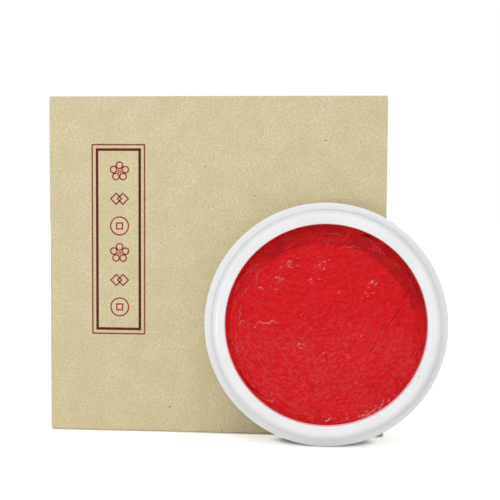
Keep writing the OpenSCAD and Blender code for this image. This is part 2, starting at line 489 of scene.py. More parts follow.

# %% Glazed porcelain: cool white, glossy, with iron specks; bare where jar and lid rub; painted shade at the lip's foot
porcelain = Finish("porcelain", 0.2)
bare, painted_lip_shade = porcelain.mark("bare"), porcelain.mark("painted_lip_shade")
biscuit = porcelain.grain(0.4 * MM, 3.0)
clay = mix_colours(porcelain.tree, biscuit, (237, 239, 241), (245, 246, 247))
rough_clay = math_node(porcelain.tree, "MULTIPLY", biscuit, bare)
# The grey laid over the lip's outer slope and foot is a painted shade, where the step down to the
# ledge lies in shade.
porcelain.paint(
    (239, 240, 242), (porcelain.grain(14 * MM), 1, (245, 246, 247)),
    (porcelain.flecks(6 * MM, 0.36 * MM, 0.5), 0.75, (74, 70, 66)), (bare, 1, clay),
    (painted_lip_shade, 0.6, (196, 199, 203)))
porcelain.set("Roughness", new_range(porcelain.tree, bare, 0.0, 1.0, 0.2, 0.8))
porcelain.raise_by((porcelain.grain(2.5 * MM, 1.0), 0.03 * MM), (rough_clay, 0.05 * MM))

# %% Satin cloth: golden, with a fine weave and a soft sheen
thread_w = 0.35 * MM
satin = Finish("satin_cloth", 0.42, 0.4)
satin.set("Sheen Weight", 0.35)
satin.set("Sheen Roughness", 0.4)
weave = add_node(
    satin.tree, "TexWave", {"Vector": satin.place, "Scale": 0.5 / thread_w, "Distortion": 1.5},
    wave_type="BANDS", bands_direction="DIAGONAL").outputs["Fac"]
slubs = satin.fibres(6 * MM, 0.2 * MM, 0.1)
satin.paint(
    (206, 164, 74), (satin.grain(18 * MM), 1, (220, 182, 96)), (weave, 0.35, (178, 134, 52)),
    (slubs, 0.4, (236, 206, 130)))
satin.raise_by((weave, 0.03 * MM), (slubs, 0.03 * MM))

# %% Foam: white and finely celled, with painted shade in the middle of each cell
foam_cell = 0.5 * MM
foam = Finish("foam", 0.95, 0.2)
bubbles = add_node(foam.tree, "TexVoronoi", {"Vector": foam.place, "Scale": 1 / foam_cell})
# Each cell is painted darker towards its middle, where the bump sinks it: painted shade in the
# pores.
depth = new_range(foam.tree, bubbles.outputs["Distance"], 0.0, 0.6)
foam.paint(
    (205, 204, 198), (depth, 1, (240, 240, 236)), (foam.grain(6 * MM), 0.2, (226, 222, 208)))
foam.raise_by((depth, 0.1 * MM))

# %% [markdown]
# ## The wrapped card box
#
# Cover and tray are both made of greyboard walls with one sheet of paper glued round them. A sheet
# is what gives such a box its look: soft folded edges, paper turned in over the rim, and near the
# corners a fine step, where one flap is glued over the tab of the next. So the paper is modelled as
# a real sheet: a cube without its mouth, a rim folded in from the open edge, and then a thickness.

# %% Size of the folds
fold_r = 0.55 * MM
seam_from_corner = 1.3 * MM
seam_run = 0.15 * MM
seam_step = 0.09 * MM


# %% The folded sheet
def fold_rim(low, high, mouth):
    """Opens the wall at the mouth and folds the paper over the rim and down inside."""
    rim_y = high.y if mouth > 0 else low.y
    middle = (low + high) / 2
    pick("faces", lambda f: f.normal.y * mouth > 0.9)
    bpy.ops.mesh.delete(type="ONLY_FACE")
    pick("edges", lambda e: e.is_boundary)
    shrink_x = 1 - 2 * wall_t / (high.x - low.x)
    shrink_z = 1 - 2 * wall_t / (high.z - low.z)
    extrude()
    bpy.ops.transform.resize(
        value=(shrink_x, 1, shrink_z), center_override=(middle.x, rim_y, middle.z))
    extrude(0, -mouth * (turn_in - wrap_t), 0)


def glue_seams(low, high):
    """Sinks a narrow strip at both ends of the side walls, where a tab lies under the flap."""
    def on_side(face):
        return abs(face.normal.x) > 0.9 and abs(face.calc_center_median().x) > high.x - fold_r
    for from_corner in (seam_from_corner, seam_from_corner + seam_run):
        for height in (low.z + from_corner, high.z - from_corner):
            pick("faces", on_side)
            bpy.ops.mesh.bisect(plane_co=(0, 0, height), plane_no=(0, 0, 1))
    for side in (-1, 1):
        pick("verts", lambda v: v.co.x * side > high.x - fold_r * 0.6
             and min(v.co.z - low.z, high.z - v.co.z) < seam_from_corner + seam_run / 2)
        bpy.ops.transform.translate(value=(-side * seam_step, 0, 0))


def wrapped_box(low, high, mouth):
    """Paper round an open card box, with its mouth towards +Y or -Y."""
    deselect()
    bpy.ops.mesh.primitive_cube_add(size=1, location=(low + high) / 2, scale=high - low)
    piece = bpy.context.object
    apply_place(piece)
    start_edit(piece)
    fold_rim(low, high, mouth)
    pick("edges", lambda e: not e.is_boundary and e.calc_face_angle(0) > 1)
    bpy.ops.mesh.bevel(offset=fold_r, segments=5, profile=0.5)
    glue_seams(low, high)
    end_edit()
    give_thickness(piece, wrap_t, even=True)
    smooth(piece, 25)
    return piece


# %% Paper round the cover and the tray
cover_paper = wrapped_box(cover_low, cover_high, 1)
finish_piece(cover_paper, "cover_paper", "cover", wrap_paper, "wrap_paper", "cover_wrap")
tray_paper = wrapped_box(tray_low, tray_high, -1)
finish_piece(tray_paper, "tray_paper", "tray", wrap_paper, "wrap_paper", "tray_wrap")


# %% [markdown]
# ## The printed label
#
# The label is ink on the wrap paper: a double frame, thin outside and bold inside, with a column of
# six marks. Ink has next to no height, but a thin solid keeps its edge sharp at any distance. Each
# line is a polygon, inset by the width of the line and hollowed. The marks are old ornaments that
# belong to nobody: a plum blossom of five rings, linked lozenges, and a coin with a square hole.

# %% Sizes of the label
ink_t = 0.03 * MM
ink_sink = 0.01 * MM
label_left, label_right = -46.6 * MM, -26.4 * MM
label_top, label_bottom = 107.4 * MM, 36.4 * MM
frame_gap = 1.6 * MM
thin_line = 0.55 * MM
bold_line = 0.98 * MM
stroke = 0.5 * MM
mark_x = -36.1 * MM
mark_top = 97.2 * MM
mark_pitch = 10.1 * MM


# %% One line of ink
def ink_line(x, z, wide, tall, width, corners=48, turn=0, rounding=0):
    """A closed line of ink on the face, round a polygon that is wide and tall to each side."""
    deselect()
    bpy.ops.mesh.primitive_circle_add(
        vertices=corners, radius=1, fill_type="NGON", rotation=(0, 0, math.radians(turn)))
    piece = bpy.context.object
    apply_place(piece)
    apply_place(piece, Matrix.Diagonal((wide, tall, 1, 1)))
    start_edit(piece)
    if rounding:
        bpy.ops.mesh.bevel(offset=rounding, segments=4, affect="VERTICES")
        select_all()
    bpy.ops.mesh.inset(thickness=width, depth=0)
    bpy.ops.mesh.delete(type="FACE")
    select_all()
    extrude(0, 0, ink_t)
    end_edit()
    apply_place(piece, facing_front((x, face_y + ink_sink, z)))
    return piece


def join(pieces):
    """Makes several pieces one, and keeps the first one's name."""
    only(pieces[0])
    for piece in pieces:
        piece.select_set(True)
    bpy.ops.object.join()
    return pieces[0]


# %% The double frame
SQUARE_REACH = math.sqrt(2)
label_x, label_z = (label_left + label_right) / 2, (label_top + label_bottom) / 2


def ink_frame(name, ink, inset, width, rounding):
    """One frame of the label, at a distance from the label's edge."""
    wide = ((label_right - label_left) / 2 - inset) * SQUARE_REACH
    tall = ((label_top - label_bottom) / 2 - inset) * SQUARE_REACH
    line = ink_line(
        label_x, label_z, wide, tall, width, corners=4, turn=45, rounding=rounding)
    face_outwards(line)
    finish_piece(line, name, "cover", ink, "wrap_paper")


ink_frame("label_outer_line", pale_ink, 0, thin_line, 0.5 * MM)
ink_frame("label_inner_line", dark_ink, frame_gap, bold_line, 0)


# %% Six ornaments
def ring(x, z, radius, width=stroke, **shape):
    return ink_line(x, z, radius, radius, width, **shape)


def plum_blossom(x, z):
    lines = [ring(x, z, 0.6 * MM, stroke * 0.7)]
    for k in range(5):
        angle = math.radians(90 + 72 * k)
        petal_x, petal_z = 2.3 * MM * math.cos(angle), 2.3 * MM * math.sin(angle)
        lines.append(ring(x + petal_x, z + petal_z, 1.45 * MM))
    return lines


def linked_lozenges(x, z):
    return [ring(x + side * 1.25 * MM, z, 2.4 * MM, corners=4) for side in (-1, 1)]


def square_holed_coin(x, z):
    return [ring(x, z, 3.6 * MM), ring(x, z, 1.9 * MM, corners=4, turn=45)]


marks = []
for k in range(6):
    ornament = (plum_blossom, linked_lozenges, square_holed_coin)[k % 3]
    marks += ornament(mark_x, mark_top - k * mark_pitch)
label_marks = join(marks)
face_outwards(label_marks)
finish_piece(label_marks, "label_marks", "cover", mark_ink, "wrap_paper")

# %% [markdown]
# ## Card, tape and lining
#
# The greyboard walls, the tape at their corners and the thin white lining are flat plates under the
# wrap. Their CAD solids already have the right shape, so they stay and only get their materials.

# %% Finishes of the kept solids
KEPT = {"board": greyboard, "stays": stay_tape, "lining": lining_paper}
for name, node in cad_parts.items():
    for word, finish in KEPT.items():
        if name.endswith(word):
            for material_slot in node.material_slots:
                material_slot.material = finish.material
            print(name, "gets", finish.material.name)

# %% [markdown]
# ## Porcelain
#
# Bowl and lid are thrown on a wheel, so each is one section turned about an axis. The section is a
# list of corners, each with its own rounding: liquid glaze fills inner corners and pulls thin over
# outer ones, so none is sharp. One point is extruded along the section, and the line is then spun.


# %% Rounded sections and turned shapes
def rounded(corners, steps=6):
    """Points of a section whose corners are given as (radius, height, rounding)."""
    points = [corners[0][:2]]
    for before, (r, h, rounding), after in zip(corners, corners[1:], corners[2:]):
        if not rounding:
            points.append((r, h))
            continue
        middle = Vector((r, h))
        back = (Vector(before[:2]) - middle).normalized()
        ahead = (Vector(after[:2]) - middle).normalized()
        half = back.angle(ahead) / 2
        centre = middle + (back + ahead).normalized() * rounding / math.sin(half)
        start = middle + back * rounding / math.tan(half) - centre
        sweep = start.angle_signed(middle + ahead * rounding / math.tan(half) - centre)
        for k in range(steps + 1):
            points.append((centre + Matrix.Rotation(-sweep * k / steps, 2) @ start)[:])
    return points + [corners[-1][:2]]


def turned(section, steps=240):
    """Spins a section that runs from axis to axis into a closed shape about the Z axis."""
    deselect()
    bpy.ops.mesh.primitive_plane_add(size=MM, location=(section[0][0], 0, section[0][1]))
    piece = bpy.context.object
    apply_place(piece)
    start_edit(piece, "VERT")
    bpy.ops.mesh.merge(type="CENTER")
    for (r, h), (next_r, next_h) in zip(section, section[1:]):
        extrude(next_r - r, 0, next_h - h)
    select_all()
    bpy.ops.mesh.spin(steps=steps, angle=2 * math.pi, center=(0, 0, 0), axis=(0, 0, 1))
    end_edit()
    face_outwards(piece)
    return piece


def mark_points(piece, name, values):
    """Gives each point of a piece a number that its material reads."""
    attribute = piece.data.attributes.new(name, "FLOAT", "POINT")
    attribute.data.foreach_set("value", np.asarray(values, np.float32))


def points_of(piece):
    flat = np.empty(len(piece.data.vertices) * 3, np.float32)
    piece.data.vertices.foreach_get("co", flat)
    return flat.reshape(-1, 3)


def move_points(piece, *coordinates):
    """Puts the points of a piece at new x, y and z."""
    placed = np.stack(coordinates, axis=1).astype(np.float32)
    piece.data.vertices.foreach_set("co", placed.ravel())
    piece.data.update()


def soft_step(value, low, high):
    """0 below low and 1 above high, with a smooth rise between them."""
    share = np.clip((value - low) / (high - low), 0, 1)
    return share * share * (3 - 2 * share)


# %% The bowl
glaze_fill = 0.5 * MM
belly = [(*belly_at(math.radians(a)), 0) for a in range(6, 91, 6)]
bowl_section = rounded([
    (0, foot_h + 0.3 * MM, 0), (foot_r - foot_w, foot_h, glaze_fill),
    (foot_r - foot_w, 0, 0.5 * MM), (foot_r, 0, 0.5 * MM), (foot_r, foot_h, glaze_fill), *belly,
    (jar_r, bowl_h, 0.4 * MM), (lip_r, bowl_h, glaze_fill), (lip_r, crest_h - fall_h, 0.6 * MM),
    (mouth_r + bevel_w, crest_h, 1.5 * MM), (mouth_r, crest_h - bevel_h, 0.4 * MM),
    (mouth_r, well_floor, well_r), (0, well_floor, 0)])
bowl = turned(bowl_section)

# %% Marks for the glaze: bare on the ledge and under the foot, and a painted shade at the foot of the lip
bowl_z = points_of(bowl)[:, 2]
from_axis = np.hypot(*points_of(bowl)[:, :2].T)
on_ledge = (abs(bowl_z - bowl_h) < 0.1 * MM) & (from_axis > lip_r + 0.3 * MM)
mark_points(bowl, "bare", on_ledge | (bowl_z < 0.2 * MM))
# Painted shade: the lip's outer slope turns grey towards its foot, where it steps down to the
# ledge.
by_lip = (bowl_z > bowl_h - 0.2 * MM) & (from_axis < lip_r + 0.5 * MM)
lip_shade_ramp = soft_step(from_axis, lip_r - 1.3 * MM, lip_r - 0.1 * MM)
mark_points(bowl, "painted_lip_shade", by_lip * lip_shade_ramp)
smooth(bowl, 30)
apply_place(bowl, jar_place)
finish_piece(bowl, "porcelain_bowl", "jar", porcelain, "porcelain", "jar_bowl")


# %% The lid
def lid_dome(reach, base, count=12):
    """The lid's domed top, from the axis outwards."""
    return [(reach * k / count, base + dome_h * (1 - (k / count) ** 2), 0)
            for k in range(count + 1)]


lid_side_h = lid_h - dome_h
inner_top = lid_side_h - porcelain_t
shoulder = [(jar_r - shoulder_r * (1 - math.sin(a)), lid_side_h - shoulder_r * (1 - math.cos(a)), 0)
            for a in map(math.radians, range(10, 91, 8))]
lid = turned(rounded([
    *lid_dome(jar_r - shoulder_r, lid_side_h), *shoulder, (jar_r, 0, 0.7 * MM),
    (skirt_r, 0, 0.4 * MM), (skirt_r, inner_top, porcelain_t),
    *reversed(lid_dome(skirt_r - porcelain_t, inner_top)[:-1])]))
mark_points(lid, "bare", points_of(lid)[:, 2] < 0.15 * MM)
smooth(lid, 30)
apply_place(lid, lid_place)
finish_piece(lid, "porcelain_lid", "lid", porcelain, "porcelain", "jar_lid")

# %% [markdown]
# ## Seal paste
#
# Seal paste is cinnabar and oil worked into cut plant fibre, so its surface looks like wet felt. A
# smooth disc with a pattern would look printed. Instead a height map is drawn first, in
# millimetres: soft lumps, a trodden-down border, folds along the rim and thousands of fibres that
# follow the way the paste was stirred. A fine grid is then moved to that height. The map also marks
# pale fibres, wet folds, a painted sheen on fold ridges and the lower half, painted highlights
# where the paste is wettest, painted shade in hollows and under the lip along the top, and the
# paste smeared up the wall, which the material reads.

# %% An empty map of the paste
map_half = 36.0
map_size = 900
map_step = 2 * map_half / map_size
map_line = ((np.arange(map_size) + 0.5) / map_size * 2 - 1) * map_half
map_x, map_y = np.meshgrid(map_line, map_line)
map_r = np.hypot(map_x, map_y)
map_angle = np.arctan2(map_y, map_x)
random = np.random.default_rng(11)
print(f"map step {map_step:.2f} mm")


def soft_noise(cell):
    """Random heights from -1 to 1, smooth over cells of this size in millimetres."""
    count = int(2 * map_half / cell) + 3
    lattice = random.uniform(-1, 1, (count, count))
    place = np.linspace(0, count - 2.001, map_size)
    whole = place.astype(int)
    part = place - whole
    part = part * part * (3 - 2 * part)
    rows = lattice[whole] * (1 - part)[:, None] + lattice[whole + 1] * part[:, None]
    return rows[:, whole] * (1 - part) + rows[:, whole + 1] * part


def cells_at(away):
    """Columns or rows of the map, with their fractions, away from its middle in millimetres."""
    return (away / map_half + 1) / 2 * map_size - 0.5


def read_map(field, x, y):
    """Values of a map at points in millimetres, blended between its four nearest cells."""
    columns, rows = (np.clip(cells_at(away), 0, map_size - 1.001) for away in (x, y))
    column, row = columns.astype(int), rows.astype(int)
    right, down = columns - column, rows - row
    upper = field[row, column] * (1 - right) + field[row, column + 1] * right
    lower = field[row + 1, column] * (1 - right) + field[row + 1, column + 1] * right
    return upper * (1 - down) + lower * down


# %% Drawing lines on a map
def draw_lines(field, xs, ys, widths, heights):
    """Draws soft lines on a map and keeps the higher of old and new.

    xs and ys hold a row of points for each line, and each point has its width and its height."""
    columns, rows = cells_at(xs), cells_at(ys)
    reach = int(math.ceil(float(np.max(widths)) / 2 / map_step)) + 1
    nearest_column, nearest_row = np.rint(columns).astype(int), np.rint(rows).astype(int)
    for down in range(-reach, reach + 1):
        for right in range(-reach, reach + 1):
            column, row = nearest_column + right, nearest_row + down
            away = np.hypot(column - columns, row - rows) * map_step * 2 / widths
            value = heights * np.clip(1 - away * away, 0, 1) ** 1.5
            on_map = (np.minimum(column, row) >= 0) & (np.maximum(column, row) < map_size)
            drawn = on_map & (value > 0)
            np.maximum.at(field, (row[drawn], column[drawn]), value[drawn])


def fade_ends(count):
    """1 in the middle of a line and 0 at its ends."""
    along = np.linspace(0, 1, count)
    return np.clip(4 * along * (1 - along), 0, 1) ** 0.5


# %% The bed: crown, lumps, a lower border, a groove and the paste smeared up the wall
border_middle, border_in, border_out = 31, 0.9, 0.7
groove_r, groove_w = 34.3, 0.25
wall_from, wall_to = 34.6, 34.95
swirl = soft_noise(16)
lumps = 0.2 * soft_noise(10) + 0.12 * soft_noise(4.5) + 0.06 * soft_noise(2)
crown = paste_crown / MM * (1 - (map_r / (paste_r / MM)) ** 4)
border_r = border_middle - 2 * np.sin(map_angle) + 0.9 * soft_noise(7)
border = soft_step(map_r, border_r - border_in, border_r + border_out)
towards_top = soft_step(np.sin(map_angle + 0.25), -0.1, 0.75)
climb = soft_step(map_r, wall_from, wall_to)
groove = np.exp(-((map_r - groove_r) / groove_w) ** 2) * (0.5 + 0.5 * soft_noise(5))
bed = (paste_edge / MM + crown + lumps * (1 - climb) - (0.2 + 0.35 * towards_top) * border
       + (0.2 + 0.25 * towards_top) * climb - 0.14 * groove)

# %% Fibres that follow the stirring
fibre_step = 0.11
fibre_start_r, fibre_end_r = 35, 34.9


def stir_angle(x, y):
    """The main direction of the fibres at a point, in radians."""
    rising = math.radians(38) * soft_step(x, -12, 16)
    falling = -math.radians(48) * soft_step(-x, -6, 22) * soft_step(-y, -10, 12)
    return rising + falling + 0.7 * read_map(swirl, x, y)


def lay_fibres(count, steps, spread):
    """Points of fibres that start anywhere and wander along the stirring."""
    start_r = fibre_start_r * np.sqrt(random.uniform(0, 1, count))
    start_angle = random.uniform(0, 2 * math.pi, count)
    x, y = start_r * np.cos(start_angle), start_r * np.sin(start_angle)
    own = random.normal(0, spread, count)
    bend = random.normal(0, 0.02, count)
    flip = random.choice([-1, 1], count)
    xs, ys = [], []
    for _ in range(steps):
        heading = stir_angle(x, y) + own
        own = own + bend + random.normal(0, 0.05, count)
        x = x + flip * fibre_step * np.cos(heading)
        y = y + flip * fibre_step * np.sin(heading)
        beyond = np.maximum(np.hypot(x, y) / fibre_end_r, 1)
        x, y = x / beyond, y / beyond
        xs.append(x)
        ys.append(y)
    return np.array(xs).T, np.array(ys).T


def lower_sheen_share(x, y):
    """How much painted sheen the paste gets at a point: more in the lower half, which is paler."""
    return 0.5 + 0.5 * soft_step(-y - 0.25 * np.abs(x), -12, 6)


fibres, pale = np.zeros_like(bed), np.zeros_like(bed)
FIBRES = (  # count, steps, spread, widths, heights, share that is pale, how pale
    (13000, 20, 0.5, (0.35, 0.6), (0.03, 0.13), 0.26, (0.15, 0.8)),
    (420, 50, 0.45, (0.3, 0.42), (0.05, 0.1), 0.7, (0.2, 0.6)))
for count, steps, spread, widths, heights, pale_share, pale_range in FIBRES:
    xs, ys = lay_fibres(count, steps, spread)
    fade = fade_ends(steps)
    width = random.uniform(*widths, (count, 1)) * (0.4 + 0.6 * fade)
    draw_lines(fibres, xs, ys, width, random.uniform(*heights, (count, 1)) * fade)
    chosen = random.uniform(0, 1, count) < pale_share
    paleness = random.uniform(*pale_range, (count, 1)) * lower_sheen_share(xs[:, :1], ys[:, :1])
    draw_lines(pale, xs[chosen], ys[chosen], width[chosen], paleness[chosen] * fade)
    print(count, "fibres,", int(chosen.sum()), "of them pale")

# %% Folds pressed along the rim
fold_count, fold_steps = 110, 60
fold_limit = 34.8
fold_ridge, fold_gap = np.zeros_like(bed), np.zeros_like(bed)
fold_from = random.uniform(0, 2 * math.pi, (fold_count, 1))
fold_sweep = random.uniform(0.05, 0.32, (fold_count, 1))
fold_start_r = random.uniform(29.5, 34.6, (fold_count, 1))
fold_slant = random.normal(0, 1.4, (fold_count, 1))
along = np.linspace(0, 1, fold_steps)
fold_angle = fold_from + fold_sweep * along
fold_wave = 0.25 * np.sin(along * random.uniform(6, 22, (fold_count, 1)) + fold_from * 7)
fold_at = np.minimum(fold_start_r + fold_slant * along + fold_wave, fold_limit)
fold_h = random.uniform(0.07, 0.26, (fold_count, 1)) * fade_ends(fold_steps)
fold_h *= 0.5 + 0.5 * soft_step(np.sin(fold_angle - 0.6), -0.5, 0.5)
fold_w = np.broadcast_to(random.uniform(0.4, 1.0, (fold_count, 1)), fold_h.shape)
for field, radii, share in ((fold_ridge, fold_at, 1), (fold_gap, fold_at - fold_w * 0.55, 0.5)):
    xs, ys = radii * np.cos(fold_angle), radii * np.sin(fold_angle)
    draw_lines(field, xs, ys, fold_w * share, fold_h * share)
print(fold_count, "folds")

# %% A few folds and cracks at their own places
CREASES = (  # points in millimetres from the middle, width, height (a crack is below 0), wetness
    (((-25.0, -1.6), (-24.2, 0.2), (-23.1, 0.9), (-22.2, 0.3), (-21.4, 0.5), (-19.9, 0.3),
      (-18.9, 1.2), (-18.1, 1.2), (-17.2, 0.4), (-16.4, 0.8), (-14.8, 0.2)), 0.5, 0.22, 1.0),
    (((-30.5, 1.4), (-29.6, 0.8), (-28.6, 1.0)), 0.6, 0.2, 0.7),
    (((-14.1, 21.2), (-13.0, 22.4), (-12.2, 22.6)), 0.6, 0.24, 0.9),
    (((-13.6, 20.0), (-12.8, 20.6), (-12.3, 20.4)), 0.5, 0.2, 0.9),
    (((-18.6, 15.8), (-17.2, 16.6), (-15.4, 15.9), (-14.2, 16.2)), 0.6, 0.22, 0.8),
    (((-3.4, 20.2), (-2.4, 20.9), (-1.6, 20.7)), 0.5, 0.2, 0.8),
    (((-0.6, 20.4), (0.2, 21.3)), 0.5, 0.18, 0.7),
    (((15.4, 14.6), (16.2, 15.9), (16.7, 15.5)), 0.6, 0.26, 1.0),
    (((16.9, 14.0), (17.4, 14.5)), 0.5, 0.2, 0.9),
    (((-9.7, -7.2), (-9.2, -6.6), (-8.7, -7.0)), 0.6, 0.24, 1.0),
    (((-0.1, -34.3), (1.0, -33.9), (1.7, -33.1), (2.8, -32.8)), 0.7, 0.3, 1.0),
    (((12.2, -32.2), (14.4, -31.3), (16.6, -30.1), (18.6, -28.9), (20.6, -27.4)), 0.7, 0.3, 0.65),
    (((14.0, -30.2), (16.0, -29.1), (18.2, -27.4)), 0.5, 0.2, 0.3),
    (((26.7, 8.4), (25.8, 5.6), (24.4, 3.4), (22.9, 1.6), (21.9, 0.6), (21.4, -1.2)), 0.5, -0.3, 0),
    (((28.6, 12.2), (27.4, 10.0), (26.7, 8.4)), 0.5, -0.24, 0),
    (((-30.4, -16.4), (-28.2, -20.2), (-25.6, -23.0), (-22.6, -25.2), (-19.6, -26.6)),
     0.8, -0.4, 0),
    (((12.4, 31.9), (14.6, 31.4), (16.4, 30.9)), 1.1, -0.7, 0),
    (((-1.8, 28.8), (-1.0, 28.0), (-0.4, 27.2)), 0.9, -0.35, 0),
    (((26.0, -16.6), (24.6, -19.4), (22.6, -21.8)), 0.6, -0.3, 0),
    (((32.6, -6.6), (32.2, -9.4), (31.2, -12.4)), 0.6, -0.3, 0))
crease_step = 0.05
crease_up, crease_down, wet = (np.zeros_like(bed) for _ in range(3))
for points, width, height, wetness in CREASES:
    points = np.array(points)
    lengths = np.concatenate([[0], np.cumsum(np.hypot(*np.diff(points, axis=0).T))])
    even = np.linspace(0, lengths[-1], int(lengths[-1] / crease_step))
    xs, ys = (np.interp(even, lengths, points[:, axis])[None, :] for axis in (0, 1))
    fade = fade_ends(len(even))[None, :]
    widths = np.full_like(xs, width)
    draw_lines(crease_up if height > 0 else crease_down, xs, ys, widths, abs(height) * fade)
    draw_lines(wet, xs, ys, widths * 1.2, wetness * fade)
print(len(CREASES), "creases")

# %% Glints: clusters of short wet dashes, which the paste's finish paints pale as highlights
GLINTS = (  # x, y, spread, count
    (-13, 21.6, 1.4, 14), (-16.4, 16.2, 1.6, 12), (-18.2, 12.4, 1.6, 6), (-1.4, 21.6, 1.6, 12),
    (-5.4, 15.8, 1.4, 8), (16.6, 14.8, 1.0, 9), (13, 11.6, 2.2, 6), (-9.4, -6.8, 0.6, 3),
    (-28, 0.6, 1.6, 6), (12.9, -32, 0.7, 8), (15.2, -31, 0.8, 18), (18.5, -28.9, 0.8, 18),
    (21.6, -26.4, 0.6, 6), (8.3, -33, 0.6, 4), (-20, -28, 3, 6), (0, 0, 15, 12))
glint_steps = 15
for x, y, spread, count in GLINTS:
    one_each = (count, 1)
    xs, ys = random.normal(x, spread, one_each), random.normal(y, spread, one_each)
    heading = stir_angle(xs, ys) + random.normal(0.4, 0.4, one_each)
    reach = random.uniform(-0.5, 0.5, one_each) + np.linspace(-0.5, 0.5, glint_steps)
    length = random.uniform(0.6, 1.8, one_each)
    xs, ys = xs + reach * length * np.cos(heading), ys + reach * length * np.sin(heading)
    widths = np.broadcast_to(random.uniform(0.4, 0.5, one_each), xs.shape)
    for field, low, high in ((wet, 0.6, 1.2), (crease_up, 0.05, 0.12)):
        heights = random.uniform(low, high, one_each) * fade_ends(glint_steps)
        draw_lines(field, xs, ys, widths, heights)
print(sum(count for *_, count in GLINTS), "glints")

# %% Where folds are wet, and where fibres are pale, with a painted sheen on fold ridges and the lower half
wet = np.maximum(wet, soft_step(fold_ridge, 0.1, 0.25) * 0.5)
# Painted sheen: fold ridges are painted paler where they catch the light, and so is the lower half.
pale = np.maximum(pale, soft_step(fold_ridge, 0.02, 0.2) * 0.6)
pale += 0.14 * (1.6 * lower_sheen_share(map_x, map_y) - 0.6) * (0.6 + 0.4 * soft_noise(8))
rim = climb * (0.75 + 0.25 * soft_noise(2)) * (1 - 0.8 * towards_top)

# %% The finished height map, and the painted shade in its hollows and under the lip
paste_map = bed + fibres + fold_ridge - fold_gap + crease_up - crease_down
paste_map += 0.02 * soft_noise(0.5)
shade_blur_cells = 8


def box_blur(field, cells):
    """Mean over a square of this many cells to each side."""
    for _ in range(2):
        padded = np.pad(field, ((cells + 1, cells), (0, 0)), mode="edge")
        summed = np.cumsum(padded, axis=0)
        field = ((summed[2 * cells + 1:] - summed[:-2 * cells - 1]) / (2 * cells + 1)).T
    return field


# Painted shade: where the surface lies below its surroundings, the paste is painted darker.
pit = soft_step(box_blur(paste_map, shade_blur_cells) - paste_map, 0.03, 0.22)
# Painted shadow of the lip: the border along the top is painted darker too.
pit = np.maximum(pit, border * towards_top * (0.55 + 0.3 * soft_noise(3)))
in_bowl = paste_map[map_r < paste_r / MM]
print(f"paste from {in_bowl.min():.2f} to {in_bowl.max():.2f} mm")

# %% The paste itself
grid_cells = 300
deselect()
bpy.ops.mesh.primitive_grid_add(x_subdivisions=grid_cells, y_subdivisions=grid_cells, size=2)
paste = bpy.context.object
square = points_of(paste).astype(float)
disc_x = square[:, 0] * np.sqrt(1 - square[:, 1] ** 2 / 2) * paste_r
disc_y = square[:, 1] * np.sqrt(1 - square[:, 0] ** 2 / 2) * paste_r
move_points(paste, disc_x, disc_y, read_map(paste_map, disc_x / MM, disc_y / MM) * MM)
start_edit(paste)
pick("edges", lambda e: e.is_boundary)
extrude()
bpy.ops.transform.resize(value=(1, 1, 0), center_override=(0, 0, well_floor + well_r))
extrude(0, 0, 0.1 * MM - well_r)
inward = 1 - well_r / mouth_r
bpy.ops.transform.resize(value=(inward, inward, 1), center_override=(0, 0, 0))
extrude()
bpy.ops.mesh.merge(type="CENTER")
end_edit()
face_outwards(paste)
at_x, at_y = (points_of(paste) / MM).T[:2]
for name, field in (("pale", pale), ("pit", pit), ("wet", wet), ("rim", rim)):
    mark_points(paste, name, read_map(field, at_x, at_y))
smooth(paste, 60)
apply_place(paste, jar_place)


# %% Finish of the paste
def paste_finish(name, main, bright, pale_and_sheen_red, roughness):
    """Red with pale fibres and a painted sheen, painted shade, oil gloss with painted highlights,
    and the bright rim of the smeared wall.
    """
    red = Finish(name, roughness, 0.1)
    wet_and_glint_mark = red.mark("wet")
    red.set("Coat Weight", wet_and_glint_mark)
    red.set("Coat Roughness", 0.08)
    grain = red.grain(1.1 * MM, 4.0)
    strands = red.fibres(1.8 * MM, 0.2 * MM, 0.5)
    # Where the paste is wettest its colour is painted pale pink: a painted highlight over the real
    # gloss of the coat.
    painted_glint = new_range(red.tree, wet_and_glint_mark, 0.5, 1.0)
    red.paint(
        main, (grain, 1, bright), (red.grain(9 * MM), 0.02, pale_and_sheen_red), (strands, 0.1, pale_and_sheen_red),
        (red.mark("pale"), 0.68, pale_and_sheen_red), (red.mark("pit"), 0.6, (128, 4, 10)),
        (red.mark("rim"), 1, (232, 10, 18)), (painted_glint, 0.9, (252, 156, 160)))
    red.raise_by((strands, 0.07 * MM), (grain, 0.06 * MM))
    return red


seal_paste = paste_finish("seal_paste", (200, 3, 7), (232, 7, 13), (224, 82, 88), 0.5)
finish_piece(paste, "paste_bed", "jar", seal_paste, "seal_paste", "seal_paste")

# %% [markdown]
# ## Loose fibres
#
# A few fibres stand clear of the felt and catch the light on their own. Each is a thin three-sided
# strand, a narrow grid rolled up and laid along the surface. They are joined into one piece.


# %% A grid moved into shape
def shaped_grid(columns, rows, shape):
    """A grid whose points are moved: shape turns u and v, both 0 to 1, into x, y and z."""
    deselect()
    bpy.ops.mesh.primitive_grid_add(x_subdivisions=columns, y_subdivisions=rows, size=1)
    piece = bpy.context.object
    flat = points_of(piece)
    move_points(piece, *shape(flat[:, 0] + 0.5, flat[:, 1] + 0.5))
    return piece


